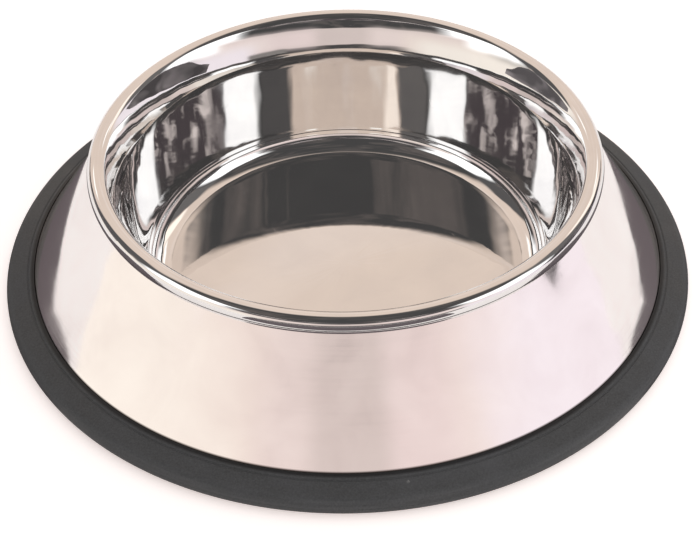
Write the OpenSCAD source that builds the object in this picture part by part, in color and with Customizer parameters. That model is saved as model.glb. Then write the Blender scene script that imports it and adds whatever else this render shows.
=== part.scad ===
// Non-tip dog bowl: a drawn steel dish whose rim is curled over a flared steel skirt,
// and a rubber ring stretched over the skirt's foot. Every piece is a body of revolution about Z.
// The origin is the middle of the face that the ring stands on.

/* [Size] */
// Diameter across the curled rim
rim_d = 182.4; // [150:0.2:220]
// Diameter across the rubber ring
base_d = 250; // [208:1:300]
// Height of the rim's top above the table
height = 54.6; // [45:0.2:66]

/* [Dish] */
// Thickness of the dish's sheet
dish_wall = 0.6; // [0.5:0.05:0.9]
// Outside diameter of the curl along the rim
curl_d = 7.2; // [5.6:0.1:8]
// Radius of the flare between the curl and the crease
flare_r = 44; // [30:0.2:60]
// Lean of the flare from upright where it runs into the curl, in degrees
flare_top_lean = 34; // [30:1:42]
// Lean of the flare from upright at the crease, in degrees
flare_low_lean = 17.5; // [12:0.5:24]
// Radius of the crease between the flare and the wall
crease_r = 1.4; // [1.1:0.1:4]
// Lean of the wall from upright, in degrees
wall_lean = 9.5; // [2:0.5:12]
// Radius of the corner round the floor
corner_r = 9.7; // [4:0.1:14]
// Height of the floor's upper face above the table
floor_h = 1.1; // [1:0.1:6]

/* [Skirt] */
// Thickness of the skirt's sheet
skirt_wall = 0.6; // [0.5:0.05:0.7]
// Distance from the curl's centre line in to the skirt's outer face
skirt_inset = 0.7; // [0.4:0.1:0.8]
// Gap between the skirt's top edge and the inside of the curl
tuck_gap = 0.2; // [0.1:0.05:0.3]
// Radius of the bend from the skirt into its foot flange
bend_r = 2; // [1.5:0.1:3]
// Width of the foot flange, flat part
flange_w = 3.3; // [2:0.1:5]
// Height of the foot flange's upper face above the table
flange_h = 4.6; // [4:0.1:5]

/* [Base ring] */
// Radius of the ring's rounded outer edge
edge_r = 3.7; // [3:0.1:4]
// Fall of the ring's top face from the skirt outward, in degrees
top_fall = 17; // [10:1:22]
// Rubber between the foot flange and the ring's outer edge
edge_cover = 3; // [2:0.1:5]
// Height of the leg that grips the skirt from inside
leg_h = 7.2; // [6.8:0.1:8]
// Width of that leg at its top
leg_w = 2.8; // [2:0.1:5]
// Chamfer on the leg's inner edges
leg_chamfer = 0.8; // [0.4:0.1:0.9]
// Width of the lip that lies against the skirt
lip_w = 1.3; // [1:0.1:2]
// Radius of the groove outside the lip
groove_r = 0.35; // [0.2:0.05:0.5]
// Clearance of the ring's slot and of the curl's edge from the skirt
fit = 0.12; // [0.08:0.02:0.2]

/* [Hidden] */
$fn = 96;

// Angle by which a bend overlaps the sheet on either side of it, in degrees
lap = 0.1;

// The curl, seen in section: a circle that the rim's sheet follows most of the way round
curl_r = curl_d / 2;
curl_c = [rim_d / 2 - curl_r, height - curl_r];

// The flare is an arc about a point outside the dish, and runs into the curl without a step
flare_c = curl_c - (flare_r - curl_r) * [cos(180 - flare_top_lean), sin(180 - flare_top_lean)];
crease_c = polar(flare_c, flare_r - crease_r, 180 - flare_low_lean);

// The wall leans in from the crease to the corner, whose arc meets the floor
wall_top = polar(crease_c, crease_r, 180 - wall_lean);
wall_low_z = floor_h + corner_r - corner_r * sin(wall_lean);
wall_low = [wall_top.x - (wall_top.y - wall_low_z) * tan(wall_lean), wall_low_z];
corner_c = wall_low - corner_r * [cos(wall_lean), -sin(wall_lean)];

// The skirt is the straight line that passes the curl's centre at skirt_inset and touches the foot bend
bend_c = [base_d / 2 - edge_cover - flange_w, flange_h + bend_r];
span = bend_c - curl_c;
skirt_lean = atan2(span.y, span.x) + acos((bend_r - skirt_inset) / norm(span));
out = [cos(skirt_lean), sin(skirt_lean)];
up = [-sin(skirt_lean), cos(skirt_lean)];
curl_in_r = curl_r - dish_wall;
tuck = sqrt(pow(curl_in_r - tuck_gap, 2) - pow(skirt_inset + skirt_wall, 2));
skirt_top = curl_c - skirt_inset * out + tuck * up;
skirt_low = bend_c - bend_r * out;

// The curl's free edge stops just clear of the skirt's outer face
curl_end = skirt_lean - acos(-(skirt_inset - fit) / curl_r);

// The ring's top face falls from the middle of the skirt's sheet to a tangent of the rounded edge
edge_c = [base_d / 2 - edge_r, edge_r];
top_out = edge_c + edge_r * [sin(top_fall), cos(top_fall)];
top_dir = [-cos(top_fall), sin(top_fall)];
top_len = (-skirt_inset - skirt_wall / 2 - out * (top_out - curl_c)) / (out * top_dir);
top_in = top_out + top_len * top_dir;

// The leg stands inside the skirt
slot_at_leg = skirt_x(leg_h, skirt_wall / 2);
bore_r = skirt_x(leg_h, skirt_wall + fit) - leg_w;
groove_len = (fit + lip_w + groove_r - skirt_inset - out * (top_out - curl_c)) / (out * top_dir);
groove_c = top_out + groove_len * top_dir;

function polar(c, r, a) = c + r * [cos(a), sin(a)];

// Radius of the skirt's sheet at height z, at a depth behind its outer face
function skirt_x(z, depth) = curl_c.x - (skirt_inset + depth + out.y * (z - curl_c.y)) / out.x;

// Sheet bent about c, between two radii, from angle a0 to angle a1, with the lap added at both ends
module bend(c, r_in, r_out, a0, a1) {
    start = a0 - lap;
    turn = a1 + lap - start;
    steps = ceil(turn / 45);
    translate(c)
        intersection() {
            difference() {
                circle(r_out);
                circle(r_in);
            }
            polygon([[0, 0], for (i = [0:steps]) polar([0, 0], 2 * r_out, start + turn * i / steps)]);
        }
}

// Straight sheet from point a to point b, with its thickness to the right, along the unit vector side
module strip(a, b, side, thickness) {
    polygon([a, a + thickness * side, b + thickness * side, b]);
}

module dish_section() {
    wall_side = [cos(wall_lean), -sin(wall_lean)];
    strip([0, floor_h], [corner_c.x, floor_h], [0, -1], dish_wall);
    bend(corner_c, corner_r, corner_r + dish_wall, -90, -wall_lean);
    strip(wall_low, wall_top, wall_side, dish_wall);
    bend(crease_c, crease_r - dish_wall, crease_r, 180 - flare_low_lean, 180 - wall_lean);
    bend(flare_c, flare_r - dish_wall, flare_r, 180 - flare_top_lean, 180 - flare_low_lean);
    bend(curl_c, curl_in_r, curl_r, curl_end, 180 - flare_top_lean);
}

// The skirt's sheet, grown by the same amount on both faces where the ring's slot is cut
module skirt_section(grow = 0) {
    sheet = skirt_wall + 2 * grow;
    strip(skirt_top + grow * out, skirt_low + grow * out, -out, sheet);
    bend(bend_c, bend_r - grow, bend_r + skirt_wall + grow, 180 + skirt_lean, 270);
    strip([bend_c.x, flange_h + grow], [bend_c.x + flange_w + grow, flange_h + grow], [0, -1], sheet);
}

module base_ring_section() {
    difference() {
        union() {
            translate(edge_c) circle(edge_r);
            polygon([
                top_out,
                top_in,
                [slot_at_leg, leg_h],
                [bore_r + leg_chamfer, leg_h],
                [bore_r, leg_h - leg_chamfer],
                [bore_r, leg_chamfer],
                [bore_r + leg_chamfer, 0],
                [edge_c.x, 0]
            ]);
        }
        skirt_section(fit);
        translate(groove_c) circle(groove_r);
    }
}

// Drawn steel: floor, corner, wall, crease, flare and curled rim in one sheet
module dish() {
    color("lightgray") rotate_extrude() dish_section();
}

// Flared steel shell: its top edge sits in the curl and its foot is turned out into a flange
module skirt() {
    color("silver") rotate_extrude() skirt_section();
}

// Rubber ring with a slot that takes the skirt's foot
module base_ring() {
    color("dimgray") rotate_extrude() base_ring_section();
}

dish();
skirt();
base_ring();
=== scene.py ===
from math import acos, atan2, cos, degrees, pi, radians, sin, tan

import bmesh
import bpy
from mathutils import Matrix, Vector


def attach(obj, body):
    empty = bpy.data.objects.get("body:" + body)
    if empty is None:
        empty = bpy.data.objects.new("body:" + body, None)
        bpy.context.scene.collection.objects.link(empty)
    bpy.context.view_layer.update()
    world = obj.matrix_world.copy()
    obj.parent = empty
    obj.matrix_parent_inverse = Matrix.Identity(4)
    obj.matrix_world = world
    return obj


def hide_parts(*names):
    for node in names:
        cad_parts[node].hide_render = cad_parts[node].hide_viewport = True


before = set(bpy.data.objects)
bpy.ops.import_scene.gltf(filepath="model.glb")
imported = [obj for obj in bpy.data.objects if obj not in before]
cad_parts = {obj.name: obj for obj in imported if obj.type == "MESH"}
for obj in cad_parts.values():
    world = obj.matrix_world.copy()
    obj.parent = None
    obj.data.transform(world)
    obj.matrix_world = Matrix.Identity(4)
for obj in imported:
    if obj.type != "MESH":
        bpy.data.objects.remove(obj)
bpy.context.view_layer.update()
scene = bpy.context.scene
mm = 0.001

# Sizes in mm, the same as the CAD's
bowl = {"rimDiameter": 182.4, "baseDiameter": 250, "height": 54.6}

# How sections are turned, in mm. A straight run gets a point a support from each end, unless that is more than
# mostSupport of the run
turning = {"steps": 288, "support": 0.2, "mostSupport": 0.3, "weld": 0.002, "sliver": 0.001}


def srgb(code, strength=1):
    # The linear colour that a node takes, from an sRGB hex value
    values = [int(code[i:i + 2], 16) / 255 for i in (1, 3, 5)]
    linear = [v / 12.92 if v <= 0.04045 else ((v + 0.055) / 1.055) ** 2.4 for v in values]
    return (*(v * strength for v in linear), 1)


def polar(centre, radius, angle):
    # The point on a circle at an angle in degrees
    return Vector((centre[0] + radius * cos(radians(angle)), centre[1] + radius * sin(radians(angle))))


# An input gets a value, or the socket or node to link it to. A node is linked by its first output in use
def setInputs(tree, node, inputs):
    for key, value in inputs.items():
        if isinstance(value, bpy.types.Node):
            value = next(output for output in value.outputs if output.enabled)
        if isinstance(value, bpy.types.NodeSocket):
            tree.links.new(value, node.inputs[key])
        else:
            node.inputs[key].default_value = value


def addNode(tree, kind, inputs=None, **settings):
    node = tree.nodes.new("ShaderNode" + kind)
    for name, value in settings.items():
        setattr(node, name, value)
    setInputs(tree, node, inputs or {})
    return node


# The last vertex of a section is drawn out in a line or turned through an arc, then the section spins round Z
def startSection(point):
    bm = bmesh.new()
    return bm, bm.verts.new((point[0] * mm, 0, point[1] * mm))


def lineTo(bm, last, point, cuts=0):
    start, end = last.co.copy(), Vector((point[0] * mm, 0, point[1] * mm))
    margin = turning["support"] * mm / (end - start).length
    stops = [1]
    if margin < turning["mostSupport"]:
        stops = [margin, *(i / (cuts + 1) for i in range(1, cuts + 1)), 1 - margin, 1]
    for share in stops:
        last = bmesh.ops.extrude_vert_indiv(bm, verts=[last])["verts"][0]
        bmesh.ops.translate(bm, verts=[last], vec=start.lerp(end, share) - last.co)
    return last


def arcTo(bm, last, centre, turn, steps):
    made = bmesh.ops.spin(bm, geom=[last], cent=(centre[0] * mm, 0, centre[1] * mm), axis=(0, -1, 0),
                          dvec=(0, 0, 0), angle=radians(turn), steps=steps, use_duplicate=False)
    return next(item for item in made["geom_last"] if isinstance(item, bmesh.types.BMVert))


def spinSection(bm):
    bmesh.ops.spin(bm, geom=bm.verts[:] + bm.edges[:], cent=(0, 0, 0), axis=(0, 0, 1), dvec=(0, 0, 0),
                   angle=2 * pi, steps=turning["steps"], use_merge=True, use_duplicate=False)
    bmesh.ops.remove_doubles(bm, verts=bm.verts[:], dist=turning["weld"] * mm)
    bmesh.ops.dissolve_degenerate(bm, edges=bm.edges[:], dist=turning["sliver"] * mm)
    bmesh.ops.recalc_face_normals(bm, faces=bm.faces[:])


def giveThickness(bm, wall):
    # Both sheets show their upper face. It stays where it is, and the sheet grows behind it
    sample = max(bm.faces, key=lambda face: face.calc_area())
    if sample.normal.z < 0:
        bmesh.ops.reverse_faces(bm, faces=bm.faces[:])
    bmesh.ops.solidify(bm, geom=bm.faces[:], thickness=wall * mm)


def softenEdges(bm, bevel, sharpAngle):
    sharp = [edge for edge in bm.edges if edge.is_manifold and edge.calc_face_angle() > radians(sharpAngle)]
    bmesh.ops.bevel(bm, geom=sharp, offset=bevel * mm, offset_type="OFFSET", affect="EDGES", segments=2,
                    profile=0.5, material=-1)


def makeObject(bm, name, material):
    mesh = bpy.data.meshes.new(name)
    bm.to_mesh(mesh)
    bm.free()
    mesh.materials.append(material)
    item = bpy.data.objects.new(name, mesh)
    scene.collection.objects.link(item)
    return item


def finishPiece(bm, name, node, material):
    piece = makeObject(bm, name, material)
    piece.data.shade_smooth()
    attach(piece, "root")
    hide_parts(node)
    triangles = sum(len(face.vertices) - 2 for face in piece.data.polygons)
    print(f"{name}: {triangles} triangles")


def startMaterial(name, constants):
    material = bpy.data.materials.new(name)
    material.use_nodes = True
    tree = material.node_tree
    shader = tree.nodes["Principled BSDF"]
    setInputs(tree, shader, constants)
    return material, tree, shader


# A turned piece's own directions: its point in mm, radius and height, the way along its section, and the unit
# vector round its axis. slope is 1 where the section rises outward, and -1 where it falls
def turnedCoordinates(tree, slope):
    metres = addNode(tree, "TexCoord").outputs["Object"]
    point = addNode(tree, "VectorMath", {0: metres, 1: (1000, 1000, 1000)}, operation="MULTIPLY")
    flat = addNode(tree, "VectorMath", {0: point, 1: (1, 1, 0)}, operation="MULTIPLY")
    radius = addNode(tree, "VectorMath", {0: flat}, operation="LENGTH")
    height = addNode(tree, "SeparateXYZ", {0: point}).outputs["Z"]
    along = addNode(tree, "Math", {0: height, 1: slope, 2: radius}, operation="MULTIPLY_ADD")
    around = addNode(tree, "VectorMath", {0: flat}, operation="NORMALIZE")
    return {"point": point, "radius": radius, "height": height, "along": along, "around": around}


# Noise with grains of a length round the axis and a width along the section, in mm. The length is true at a
# radius of 90 mm, about the rim's
def turnedNoise(tree, place, length, width, detail):
    trueRadius = 90
    repeats = trueRadius / length
    ringed = addNode(tree, "VectorMath", {0: place["around"], 1: [repeats] * 3}, operation="MULTIPLY")
    across = addNode(tree, "Math", {0: place["along"], 1: 1 / width}, operation="MULTIPLY")
    lifted = addNode(tree, "CombineXYZ", {"Z": across})
    vector = addNode(tree, "VectorMath", {0: ringed, 1: lifted}, operation="ADD")
    return addNode(tree, "TexNoise", {"Vector": vector, "Scale": 1, "Detail": detail})


# Marks on both steel pieces, with scales in repeats to the mm. Smudges lie about 22 mm apart. Scratches are
# short pieces of the edges of 11 mm cells, bent by up to 3 mm. Real ones are 0.05 mm wide, and these 0.25 mm,
# so that they show. Drawing leaves the dish's floor truer than its wall, so ripples fade between two radii
# The dark colour below is painted shade, for the line where the skirt meets the rubber
marks = {"polishLength": 70, "smudgeScale": 0.045, "cellScale": 0.09, "bendScale": 0.11, "bend": 3,
         "breakScale": 0.16, "scratchRoughness": 0.08, "scratchDepth": 0.001, "rippleRadius": (48, 76),
         "jointShade": "#4d4846", "jointShadeFade": 0.5}


# Stainless steel, cold drawn and then mirror polished on a turning wheel: neutral and nearly mirror sharp, its
# reflections bent by the long ripples of drawing, with a faint drag of circular polish lines, smudges that
# blur it in patches, and hairline scratches from use
def makeSteel(name, look, slope):
    material, tree, shader = startMaterial(name, {"Metallic": 1})
    place = turnedCoordinates(tree, slope)
    ripple = turnedNoise(tree, place, look["rippleLength"], look["rippleWidth"], 1)
    polish = turnedNoise(tree, place, marks["polishLength"], look["polishPitch"], 3)
    smudge = addNode(tree, "TexNoise", {"Vector": place["point"], "Scale": marks["smudgeScale"], "Detail": 4,
                                        "Distortion": 0.6})

    # Scratches: the bent cell edges, kept only where a second noise is high
    wander = addNode(tree, "TexNoise", {"Vector": place["point"], "Scale": marks["bendScale"], "Detail": 1})
    bent = addNode(tree, "VectorMath", {0: wander.outputs["Color"], 1: [marks["bend"]] * 3, 2: place["point"]},
                   operation="MULTIPLY_ADD")
    cells = addNode(tree, "TexVoronoi", {"Vector": bent, "Scale": marks["cellScale"]},
                    feature="DISTANCE_TO_EDGE")
    line = addNode(tree, "MapRange", {"Value": cells, "From Min": 0.004, "From Max": 0.012, "To Min": 1,
                                      "To Max": 0})
    breaks = addNode(tree, "TexNoise", {"Vector": place["point"], "Scale": marks["breakScale"], "Detail": 2})
    kept = addNode(tree, "MapRange", {"Value": breaks, "From Min": 0.6, "From Max": 0.68})
    scratch = addNode(tree, "Math", {0: line, 1: kept}, operation="MULTIPLY")

    drag = addNode(tree, "MapRange", {"Value": polish, "From Min": 0.4, "From Max": 0.75,
                                      "To Min": look["roughness"],
                                      "To Max": look["roughness"] + look["polishRoughness"]})
    blur = addNode(tree, "MapRange", {"Value": smudge, "From Min": 0.48, "From Max": 0.72,
                                      "To Max": look["smudgeRoughness"]})
    blurred = addNode(tree, "Math", {0: drag, 1: blur}, operation="ADD")
    rough = addNode(tree, "Math", {0: scratch, 1: marks["scratchRoughness"], 2: blurred},
                    operation="MULTIPLY_ADD")

    # Painted shade stands against the rubber, in the skirt's joint with it, under a height given for the piece
    tint = addNode(tree, "MapRange", {"Value": smudge, "From Min": 0.3, "From Max": 0.7})
    clean = addNode(tree, "Mix", {0: tint, 6: srgb(look["colour"]), 7: srgb(look["haze"])}, data_type="RGBA")
    jointShade = addNode(tree, "MapRange", {"Value": place["height"], "To Min": 1, "To Max": 0,
                                       "From Min": look["jointShadeTop"] - marks["jointShadeFade"],
                                       "From Max": look["jointShadeTop"]})
    jointShaded = addNode(tree, "Mix", {0: jointShade, 6: clean, 7: srgb(marks["jointShade"])}, data_type="RGBA")

    fade = addNode(tree, "MapRange", {"Value": place["radius"], "From Min": marks["rippleRadius"][0],
                                      "From Max": marks["rippleRadius"][1], "To Min": look["floorRipple"],
                                      "To Max": 1})
    level = addNode(tree, "Math", {0: ripple, 1: 0.5}, operation="SUBTRACT")
    wave = addNode(tree, "Math", {0: level, 1: fade}, operation="MULTIPLY")
    lines = addNode(tree, "Math", {0: polish, 1: fade}, operation="MULTIPLY")
    bend = addNode(tree, "Bump", {"Distance": look["rippleDepth"] * mm, "Height": wave})
    grain = addNode(tree, "Bump", {"Distance": look["polishDepth"] * mm, "Height": lines, "Normal": bend})
    cut = addNode(tree, "Bump", {"Distance": marks["scratchDepth"] * mm, "Height": scratch, "Normal": grain},
                  invert=True)
    setInputs(tree, shader, {"Base Color": jointShaded, "Roughness": rough, "Normal": cut})
    return material


# Styrene-butadiene rubber, compression moulded with a fine spark finish: dark neutral grey with a soft sheen,
# speckled with filler, paler along the outer edge from rubbing and a painted highlight, and darkened with
# painted shade in the joint
def makeRubber(name, look, jointRadius, edgeRadius):
    material, tree, shader = startMaterial(name, {"Specular IOR Level": look["specular"]})
    place = turnedCoordinates(tree, -1)
    grain = addNode(tree, "TexNoise", {"Vector": place["point"], "Scale": look["grainScale"], "Detail": 3,
                                       "Roughness": 0.6})
    cloud = addNode(tree, "TexNoise", {"Vector": place["point"], "Scale": look["cloudScale"], "Detail": 3})
    rubs = turnedNoise(tree, place, look["rubLength"], look["rubWidth"], 3)

    speck = addNode(tree, "MapRange", {"Value": grain, "From Min": 0.3, "From Max": 0.7})
    plain = addNode(tree, "Mix", {0: speck, 6: srgb(look["dark"]), 7: srgb(look["pale"])}, data_type="RGBA")
    bloom = addNode(tree, "MapRange", {"Value": cloud, "From Min": 0.45, "From Max": 0.75,
                                       "To Max": look["bloomShare"]})
    bloomed = addNode(tree, "Mix", {0: bloom, 6: plain, 7: srgb(look["bloom"])}, data_type="RGBA")
    # The outer edge is paler, in rub streaks: wear, and a painted highlight on the rounded edge
    outer = addNode(tree, "MapRange", {"Value": place["radius"], "From Min": edgeRadius - look["rubbedAndLitWidth"],
                                       "From Max": edgeRadius})
    streak = addNode(tree, "MapRange", {"Value": rubs, "From Min": 0.42, "From Max": 0.7})
    wornAndLit = addNode(tree, "Math", {0: outer, 1: streak}, operation="MULTIPLY")
    share = addNode(tree, "Math", {0: wornAndLit, 1: look["rubbedAndLitShare"]}, operation="MULTIPLY")
    rubbedAndLit = addNode(tree, "Mix", {0: share, 6: bloomed, 7: srgb(look["rubbedAndLit"])}, data_type="RGBA")

    # One pale scuff on the front of the top face, its edge made ragged by the grain
    away = addNode(tree, "VectorMath", {0: place["point"], 1: look["scuffPlace"]}, operation="DISTANCE")
    ragged = addNode(tree, "Math", {0: grain, 1: look["scuffRagged"], 2: away}, operation="MULTIPLY_ADD")
    scuff = addNode(tree, "MapRange", {"Value": ragged, "From Min": look["scuffEdge"][0],
                                       "From Max": look["scuffEdge"][1], "To Min": 0.8, "To Max": 0})
    scuffed = addNode(tree, "Mix", {0: scuff, 6: rubbedAndLit, 7: srgb(look["scuff"])}, data_type="RGBA")
    # Painted shade darkens the rubber in its joint with the skirt
    joint = addNode(tree, "MapRange", {"Value": place["radius"], "To Min": look["gapShadeShare"], "To Max": 0,
                                       "From Min": jointRadius + look["gapShadeWidth"][0],
                                       "From Max": jointRadius + look["gapShadeWidth"][1]})
    gapShaded = addNode(tree, "Mix", {0: joint, 6: scuffed, 7: srgb(look["gapShade"])}, data_type="RGBA")

    dull = addNode(tree, "MapRange", {"Value": cloud, "From Min": 0.3, "From Max": 0.7,
                                      "To Min": look["roughness"][0], "To Max": look["roughness"][1]})
    duller = addNode(tree, "Math", {0: wornAndLit, 1: look["wornRoughness"], 2: dull}, operation="MULTIPLY_ADD")

    # The mould's parting line runs round the widest place
    off = addNode(tree, "Math", {0: place["height"], 1: look["partingHeight"]}, operation="SUBTRACT")
    near = addNode(tree, "Math", {0: off}, operation="ABSOLUTE")
    parting = addNode(tree, "MapRange", {"Value": near, "From Min": 0.1, "From Max": 0.25, "To Min": 1,
                                         "To Max": 0})
    finish = addNode(tree, "Bump", {"Distance": look["grainDepth"] * mm, "Height": grain})
    line = addNode(tree, "Bump", {"Distance": look["partingDepth"] * mm, "Height": parting, "Normal": finish})
    rub = addNode(tree, "Bump", {"Distance": look["rubDepth"] * mm, "Height": rubs, "Normal": line})
    setInputs(tree, shader, {"Base Color": gapShaded, "Roughness": duller, "Normal": rub})
    return material


# Sizes in mm and leans in degrees from upright, the same as the CAD's. Edges that turn by more than sharpAngle
# are softened by bevel
dish = {"wall": 0.6, "curlRadius": 3.6, "flareRadius": 44, "flareTopLean": 34, "flareLowLean": 17.5,
        "creaseRadius": 1.4, "wallLean": 9.5, "cornerRadius": 9.7, "floorHeight": 1.1, "bevel": 0.12,
        "sharpAngle": 50}
skirt = {"wall": 0.6, "inset": 0.7, "tuckGap": 0.2, "bendRadius": 2, "flangeWidth": 3.3, "flangeHeight": 4.6,
         "bevel": 0.12, "sharpAngle": 50}
ring = {"edgeRadius": 3.7, "topFall": 17, "edgeCover": 3, "legHeight": 7.2, "legWidth": 2.8, "legChamfer": 0.8,
        "lipWidth": 1.3, "grooveRadius": 0.35, "fit": 0.12, "bevel": 0.15, "sharpAngle": 40}

# The curl, the flare tangent to it, the crease, the leaning wall and the corner, worked from the top down
curlCentre = Vector((bowl["rimDiameter"] / 2 - dish["curlRadius"], bowl["height"] - dish["curlRadius"]))
flareCentre = curlCentre - polar((0, 0), dish["flareRadius"] - dish["curlRadius"], 180 - dish["flareTopLean"])
creaseCentre = polar(flareCentre, dish["flareRadius"] - dish["creaseRadius"], 180 - dish["flareLowLean"])
wallTop = polar(creaseCentre, dish["creaseRadius"], 180 - dish["wallLean"])
wallLowZ = dish["floorHeight"] + dish["cornerRadius"] * (1 - sin(radians(dish["wallLean"])))
wallLow = Vector((wallTop.x - (wallTop.y - wallLowZ) * tan(radians(dish["wallLean"])), wallLowZ))
cornerCentre = wallLow - polar((0, 0), dish["cornerRadius"], -dish["wallLean"])

# The skirt's line passes the curl's centre at the inset and touches the foot bend. The curl ends short of it
bendCentre = Vector((bowl["baseDiameter"] / 2 - ring["edgeCover"] - skirt["flangeWidth"],
                     skirt["flangeHeight"] + skirt["bendRadius"]))
span = bendCentre - curlCentre
skirtLean = degrees(atan2(span.y, span.x) + acos((skirt["bendRadius"] - skirt["inset"]) / span.length))
outward, upward = polar((0, 0), 1, skirtLean), polar((0, 0), 1, skirtLean + 90)
curlEnd = skirtLean - degrees(acos(-(skirt["inset"] - ring["fit"]) / dish["curlRadius"]))

# Dish: floor, corner, wall, crease, flare and curl, one drawn sheet. Looks give lengths, depths and heights in
# mm, and a top for the painted joint shade under the table leaves a piece without that shade
dishLook = {"colour": "#f3f2f1", "haze": "#ecebeb", "roughness": 0.015, "polishRoughness": 0.015,
            "smudgeRoughness": 0.03, "rippleLength": 13, "rippleWidth": 26, "rippleDepth": 0.12,
            "floorRipple": 0.06, "polishPitch": 0.6, "polishDepth": 0.0005, "jointShadeTop": -5}
dishSteel = makeSteel("stainlessDrawnMirrorPolished", dishLook, 1)
bm, tip = startSection((0, dish["floorHeight"]))
tip = lineTo(bm, tip, (cornerCentre.x, dish["floorHeight"]), cuts=8)
tip = arcTo(bm, tip, cornerCentre, 90 - dish["wallLean"], steps=24)
tip = lineTo(bm, tip, wallTop, cuts=6)
tip = arcTo(bm, tip, creaseCentre, dish["wallLean"] - dish["flareLowLean"], steps=5)
tip = arcTo(bm, tip, flareCentre, dish["flareLowLean"] - dish["flareTopLean"], steps=16)
tip = arcTo(bm, tip, curlCentre, curlEnd - (180 - dish["flareTopLean"]), steps=44)
spinSection(bm)
giveThickness(bm, dish["wall"])
softenEdges(bm, dish["bevel"], dish["sharpAngle"])
finishPiece(bm, "dishShell", "dish", dishSteel)

# Skirt: flared shell, its top edge in the curl and its foot turned out under the rubber
# The skirt is darkened with painted shade up to 10.2 mm, where it meets the rubber
skirtLook = {"colour": "#fcf9f8", "haze": "#f5f0ef", "roughness": 0.06, "polishRoughness": 0.04,
             "smudgeRoughness": 0.06, "rippleLength": 34, "rippleWidth": 24, "rippleDepth": 0.14,
             "floorRipple": 1, "polishPitch": 0.7, "polishDepth": 0.0006, "jointShadeTop": 10.2}
skirtSteel = makeSteel("stainlessSpunPolished", skirtLook, -1)
reach = dish["curlRadius"] - dish["wall"] - skirt["tuckGap"]
tuck = (reach ** 2 - (skirt["inset"] + skirt["wall"]) ** 2) ** 0.5
bm, tip = startSection(curlCentre - skirt["inset"] * outward + tuck * upward)
tip = lineTo(bm, tip, bendCentre - skirt["bendRadius"] * outward, cuts=12)
tip = arcTo(bm, tip, bendCentre, 90 - skirtLean, steps=14)
tip = lineTo(bm, tip, (bendCentre.x + skirt["flangeWidth"], skirt["flangeHeight"]), cuts=2)
spinSection(bm)
giveThickness(bm, skirt["wall"])
softenEdges(bm, skirt["bevel"], skirt["sharpAngle"])
finishPiece(bm, "skirtShell", "skirt", skirtSteel)


def skirtX(z, depth):
    # Where the skirt is at a height, that deep behind its outer face
    return curlCentre.x - (skirt["inset"] + depth + outward.y * (z - curlCentre.y)) / outward.x


# Ring: closed rubber section with the slot for the skirt's foot
edgeCentre = Vector((bowl["baseDiameter"] / 2 - ring["edgeRadius"], ring["edgeRadius"]))
topOut = polar(edgeCentre, ring["edgeRadius"], 90 - ring["topFall"])
topWay = polar((0, 0), 1, 180 - ring["topFall"])


def topPoint(depth):
    # Where the ring's top face is that far outside the skirt's outer face
    inward = depth - skirt["inset"] - outward.dot(topOut - curlCentre)
    return topOut + topWay * (inward / outward.dot(topWay))


fit, legTop, chamfer = ring["fit"], ring["legHeight"], ring["legChamfer"]
grooveCentre = topPoint(fit + ring["lipWidth"] + ring["grooveRadius"])
slotLow, slotEnd = skirt["flangeHeight"] - skirt["wall"] - fit, bendCentre.x + skirt["flangeWidth"] + fit
legOuter = skirtX(legTop, skirt["wall"] + fit)
boreRadius = legOuter - ring["legWidth"]

# The spark finish has a 0.1 mm grain, drawn here at 0.6 mm so that it shows. Scales are repeats to the mm
ringLook = {"dark": "#3d3d3e", "pale": "#4d4d4e", "specular": 0.45, "roughness": (0.5, 0.72),
            "grainScale": 1.6, "grainDepth": 0.05, "cloudScale": 0.05, "bloom": "#58575a", "bloomShare": 0.35,
            "rubbedAndLit": "#6d6b6c", "rubbedAndLitWidth": 3, "rubbedAndLitShare": 0.3, "wornRoughness": 0.15, "rubLength": 26,
            "rubWidth": 1.4, "rubDepth": 0.05, "partingHeight": 3.7, "partingDepth": 0.08, "scuff": "#a9a6a4",
            "scuffPlace": (18.3, -117.6, 9.2), "scuffEdge": (1.2, 1.9), "scuffRagged": 1.6, "gapShade": "#141314",
            "gapShadeWidth": (0.9, 1.8), "gapShadeShare": 0.85}
ringRubber = makeRubber("rubberMouldedSatin", ringLook, topPoint(fit).x, bowl["baseDiameter"] / 2)
bm, tip = startSection((edgeCentre.x, 0))
tip = arcTo(bm, tip, edgeCentre, 180 - ring["topFall"], steps=28)
tip = lineTo(bm, tip, grooveCentre - ring["grooveRadius"] * topWay, cuts=4)
tip = arcTo(bm, tip, grooveCentre, -180, steps=8)
tip = lineTo(bm, tip, topPoint(fit), cuts=1)
tip = lineTo(bm, tip, bendCentre - (skirt["bendRadius"] - fit) * outward)
tip = arcTo(bm, tip, bendCentre, 90 - skirtLean, steps=8)
for corner in ((slotEnd, skirt["flangeHeight"] + fit), (slotEnd, slotLow), (bendCentre.x, slotLow)):
    tip = lineTo(bm, tip, corner)
tip = arcTo(bm, tip, bendCentre, skirtLean - 90, steps=8)
for corner in ((legOuter, legTop), (boreRadius + chamfer, legTop), (boreRadius, legTop - chamfer),
               (boreRadius, chamfer), (boreRadius + chamfer, 0)):
    tip = lineTo(bm, tip, corner)
tip = lineTo(bm, tip, (edgeCentre.x, 0), cuts=2)
spinSection(bm)
softenEdges(bm, ring["bevel"], ring["sharpAngle"])
finishPiece(bm, "ringBody", "base_ring", ringRubber)


def stagePiece(bm, name, material, onlyMirrored=True):
    # Cards that are there for the steel to mirror are hidden from the camera and light nothing
    item = makeObject(bm, name, material)
    if onlyMirrored:
        item.visible_camera = item.visible_diffuse = item.visible_shadow = False


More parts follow.
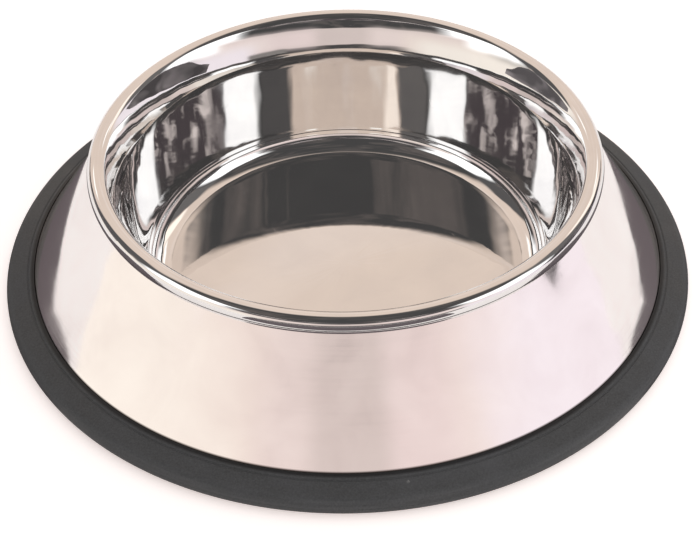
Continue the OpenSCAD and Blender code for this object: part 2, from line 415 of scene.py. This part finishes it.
# Floor: pale painted board, shown as white to the camera and to the steel, with the bowl's shadow kept
floor = {"colour": "#e8e6e4", "glow": "#fff0ec", "cameraGlow": 0.55, "mirroredGlow": 0.3, "radius": 4000,
         "drop": 0.05}
board, tree, shader = startMaterial("boardPainted", {"Base Color": srgb(floor["colour"]), "Roughness": 0.8,
                                                     "Emission Color": srgb(floor["glow"])})
rays = addNode(tree, "LightPath").outputs
mirrored = addNode(tree, "Math", {0: rays["Is Glossy Ray"], 1: floor["mirroredGlow"]}, operation="MULTIPLY")
glow = addNode(tree, "Math", {0: rays["Is Camera Ray"], 1: floor["cameraGlow"], 2: mirrored},
               operation="MULTIPLY_ADD")
setInputs(tree, shader, {"Emission Strength": glow})
bm = bmesh.new()
bmesh.ops.create_circle(bm, cap_ends=True, segments=64, radius=floor["radius"] * mm)
bmesh.ops.translate(bm, verts=bm.verts[:], vec=(0, 0, -floor["drop"] * mm))
stagePiece(bm, "floor", board, onlyMirrored=False)

# Dark felt mats on the floor. The front one widens away from the bowl and darkens the rim's roll. Those at
# the sides, each a disc under the bowl's edge with a strip that runs out, are painted shadow: dark sheets
# where the floor beside the bowl lies in its shade, darkening the skirt low down
mats = {"colour": "#6d6367", "frontY": (-140, -1600), "frontWidth": (180, 2350), "discRadius": 75,
        "discX": 118, "stripLength": 550, "stripWidth": 90, "stripX": 425, "stripY": -38, "lift": 0.01,
        "stripLift": 0.03}
matFelt = startMaterial("feltDark", {"Base Color": srgb(mats["colour"]), "Roughness": 0.9})[0]
bm = bmesh.new()
for vertex in bmesh.ops.create_grid(bm, x_segments=1, y_segments=1, size=0.5)["verts"]:
    end = 0 if vertex.co.y > 0 else 1
    vertex.co = Vector((vertex.co.x * mats["frontWidth"][end], mats["frontY"][end], mats["lift"])) * mm
stagePiece(bm, "matFront", matFelt)
# The side mats are painted shadow of the bowl on the floor
for name, side in (("shadowMatLeft", -1), ("shadowMatRight", 1)):
    bm = bmesh.new()
    bmesh.ops.create_circle(bm, cap_ends=True, segments=64, radius=mats["discRadius"] * mm)
    bmesh.ops.translate(bm, verts=bm.verts[:], vec=(side * mats["discX"] * mm, 0, mats["lift"] * mm))
    strip = bmesh.ops.create_grid(bm, x_segments=1, y_segments=1, size=0.5)["verts"]
    bmesh.ops.scale(bm, verts=strip, vec=(mats["stripLength"] * mm, mats["stripWidth"] * mm, 1))
    bmesh.ops.translate(bm, verts=strip, vec=(side * mats["stripX"] * mm, mats["stripY"] * mm,
                                              mats["stripLift"] * mm))
    stagePiece(bm, name, matFelt)

# Black felt flags standing at both sides, for the dark ends of the collar's reflections. Each is a flat card
# across x, its corners given as distance back and height in mm, and its cloth is painted with the light and
# shade of 13 folds to the metre
flags = {"flagLeft": {"x": -300, "corners": ((10, 84), (12, 112), (40, 150), (75, 172), (110, 165), (175, 135),
                                             (262, 98), (268, 72), (120, 68), (60, 74))},
         "flagRight": {"x": 300, "corners": ((-75, 72), (-90, 118), (-60, 132), (-20, 168), (60, 182),
                                             (160, 150), (230, 104), (215, 92), (110, 80), (0, 70))}}
flagLook = {"dark": "#5e5a5c", "pale": "#a8a1a3", "folds": 13}
flagFelt, tree, shader = startMaterial("feltBlack", {"Roughness": 0.9})
metres = addNode(tree, "TexCoord").outputs["Object"]
folds = addNode(tree, "TexNoise", {"Vector": metres, "Scale": flagLook["folds"], "Detail": 1,
                                   "Distortion": 0.5})
# Pale fold crests and dark troughs are painted light and shade on the flat card
foldLight = addNode(tree, "MapRange", {"Value": folds, "From Min": 0.4, "From Max": 0.7})
paintedFolds = addNode(tree, "Mix", {0: foldLight, 6: srgb(flagLook["dark"]), 7: srgb(flagLook["pale"])},
                 data_type="RGBA")
setInputs(tree, shader, {"Base Color": paintedFolds})
for name, flag in flags.items():
    bm = bmesh.new()
    bm.faces.new([bm.verts.new((flag["x"] * mm, y * mm, z * mm)) for y, z in flag["corners"]])
    stagePiece(bm, name, flagFelt)
print("floor, mats and flags")

# The studio that the steel mirrors, by direction in degrees. turn is the angle round from the camera's side,
# with plus to the right, bothTurns the same on either side, rise the height above the horizon, and sweep the
# angle from the camera's side up over the top to the back. soft is how wide the edges fade. A later panel
# hangs in front of an earlier one
studio = [
    # Cloth behind and overhead
    {"sweep": (107, 300), "soft": 14, "colour": "#e9d6c8", "patches": "#f3e4db"},
    # Wall in front, paler at both ends
    {"turn": (-64, 64), "rise": (8, 25.3), "soft": 1.2, "colour": "#dccdc8"},
    {"turn": (13, 64), "rise": (8, 24.5), "soft": 10, "colour": "#f0dedb"},
    {"turn": (-64, -13), "rise": (8, 24.5), "soft": 10, "colour": "#efdfda"},
    {"turn": (-75, -30), "rise": (3, 22), "soft": 14, "colour": "#f5e6dd"},
    {"turn": (36, 75), "rise": (9, 22), "soft": 14, "colour": "#f8e9e4"},
    # Softboxes at the sides, wider at the top
    {"bothTurns": (51, 91), "rise": (25, 47), "soft": 4, "bothTurnsSoft": 13, "colour": "#ffffff",
     "strength": 1.5},
    {"bothTurns": (62, 91), "rise": (17.5, 47), "soft": 5, "bothTurnsSoft": 10, "colour": "#ffffff",
     "strength": 1.5},
    # Pale boards low at the sides, with a grey gap in the right one
    {"turn": (44, 128), "rise": (-90, 17), "soft": 12, "colour": "#fdf3f8"},
    {"turn": (-128, -36), "rise": (-90, 17), "soft": 12, "colour": "#fff6ec", "strength": 1.03},
    {"turn": (28, 46), "rise": (-1, 8), "soft": 3, "colour": "#8c8784"},
    # Flags between the softboxes and the cloth
    {"turn": (-126, -97), "rise": (14, 50), "soft": 6, "colour": "#5c5a5a"},
    {"turn": (97, 124), "rise": (14, 50), "soft": 6, "colour": "#706d6c"},
    # Small lights beyond the flags
    {"turn": (126, 139), "rise": (22, 44), "soft": 5, "colour": "#fff2e6", "strength": 1.3},
    {"bothTurns": (141, 153), "rise": (30, 34), "soft": 4, "colour": "#fffdf8", "strength": 1.4},
    # Foil that the dish's wall shows
    {"turn": (-54, 52), "rise": (34, 38.5), "soft": 4, "colour": "#544d50", "creases": "#f3e8e4"},
]
room = {"dark": "#4a4949", "lit": "#6f6865"}
world = bpy.data.worlds.new("studio")
scene.world = world
world.use_nodes = True
tree = world.node_tree
tree.nodes.clear()
direction = addNode(tree, "TexCoord").outputs["Generated"]
parts = addNode(tree, "SeparateXYZ", {0: direction}).outputs
ahead = addNode(tree, "Math", {0: parts["Y"], 1: -1}, operation="MULTIPLY")
angles = {}
for key, kind, inputs in (("turn", "ARCTAN2", {0: parts["X"], 1: ahead}), ("rise", "ARCSINE", {0: parts["Z"]}),
                          ("sweep", "ARCTAN2", {0: parts["Z"], 1: ahead})):
    angle = addNode(tree, "Math", inputs, operation=kind)
    angles[key] = addNode(tree, "Math", {0: angle}, operation="DEGREES")
angles["bothTurns"] = addNode(tree, "Math", {0: angles["turn"]}, operation="ABSOLUTE")

# The unlit room is dark, in soft patches, and foil is creased in long low folds
flattened = addNode(tree, "VectorMath", {0: direction, 1: (1, 1, 12)}, operation="MULTIPLY")
masks = {}
for key, pattern, start, end in (("patches", {"Vector": direction, "Scale": 3.2, "Detail": 3}, 0.5, 0.75),
                                 ("creases", {"Vector": flattened, "Scale": 3, "Detail": 1}, 0.52, 0.7)):
    noise = addNode(tree, "TexNoise", {**pattern, "Distortion": 1.2})
    masks[key] = addNode(tree, "MapRange", {"Value": noise, "From Min": start, "From Max": end})
colour = addNode(tree, "Mix", {0: masks["patches"], 6: srgb(room["dark"]), 7: srgb(room["lit"])},
                 data_type="RGBA")
for panel in studio:
    mask = 1.0
    for key in ("turn", "bothTurns", "rise", "sweep"):
        if key in panel:
            low, high = panel[key]
            soft = panel.get(key + "Soft", panel["soft"])
            off = addNode(tree, "Math", {0: angles[key], 1: (low + high) / 2}, operation="SUBTRACT")
            away = addNode(tree, "Math", {0: off}, operation="ABSOLUTE")
            inside = addNode(tree, "MapRange", {"Value": away, "From Min": (high - low - soft) / 2,
                                                "From Max": (high - low + soft) / 2, "To Min": 1, "To Max": 0},
                             interpolation_type="SMOOTHSTEP")
            mask = addNode(tree, "Math", {0: inside, 1: mask}, operation="MULTIPLY")
    shade = srgb(panel["colour"], panel.get("strength", 1))
    for key in masks:
        if key in panel:
            shade = addNode(tree, "Mix", {0: masks[key], 6: shade, 7: srgb(panel[key])}, data_type="RGBA")
    colour = addNode(tree, "Mix", {0: mask, 6: colour, 7: shade}, data_type="RGBA")

# All but the steel is lit by plain daylight, dimmer from the left, and the camera sees it as white
rays = addNode(tree, "LightPath").outputs
panels = addNode(tree, "Background", {"Color": colour, "Strength": 1})
daylight = addNode(tree, "MapRange", {"Value": parts["X"], "From Min": -1, "From Max": 0.3, "To Min": 0.3,
                                      "To Max": 1.05})
strength = addNode(tree, "Math", {0: rays["Is Camera Ray"], 1: daylight}, operation="MAXIMUM")
plain = addNode(tree, "Background", {"Color": (1, 1, 1, 1), "Strength": strength})
mixed = addNode(tree, "MixShader", {0: rays["Is Glossy Ray"], 1: plain, 2: panels})
addNode(tree, "OutputWorld", {"Surface": mixed})
print(f"studio: {len(studio)} panels")

# Steel facing steel passes light to and fro many times before it leaves
scene.cycles.max_bounces = 14
scene.cycles.glossy_bounces = 12

# Camera, fitted to the photograph's rim and ring outlines: rise in degrees, distance from the middle of the
# foot in metres, roll in radians and lens in mm
view = {"rise": 40.713, "distance": 0.7064, "roll": -0.01798, "lens": 97.76, "shiftX": 0.004,
        "shiftY": -0.0136}
camera = bpy.data.objects.new("camera", bpy.data.cameras.new("camera"))
scene.collection.objects.link(camera)
scene.camera = camera
stand = Vector((0, -cos(radians(view["rise"])), sin(radians(view["rise"])))) * view["distance"]
aim = (-stand).to_track_quat("-Z", "Y").to_matrix().to_4x4()
camera.matrix_world = Matrix.Translation(stand) @ aim @ Matrix.Rotation(view["roll"], 4, "Z")
camera.data.lens = view["lens"]
camera.data.shift_x = view["shiftX"]
camera.data.shift_y = view["shiftY"]
scene.view_settings.view_transform = "Standard"
print(f"camera: {view['lens']} mm lens, {view['rise']} degrees up")
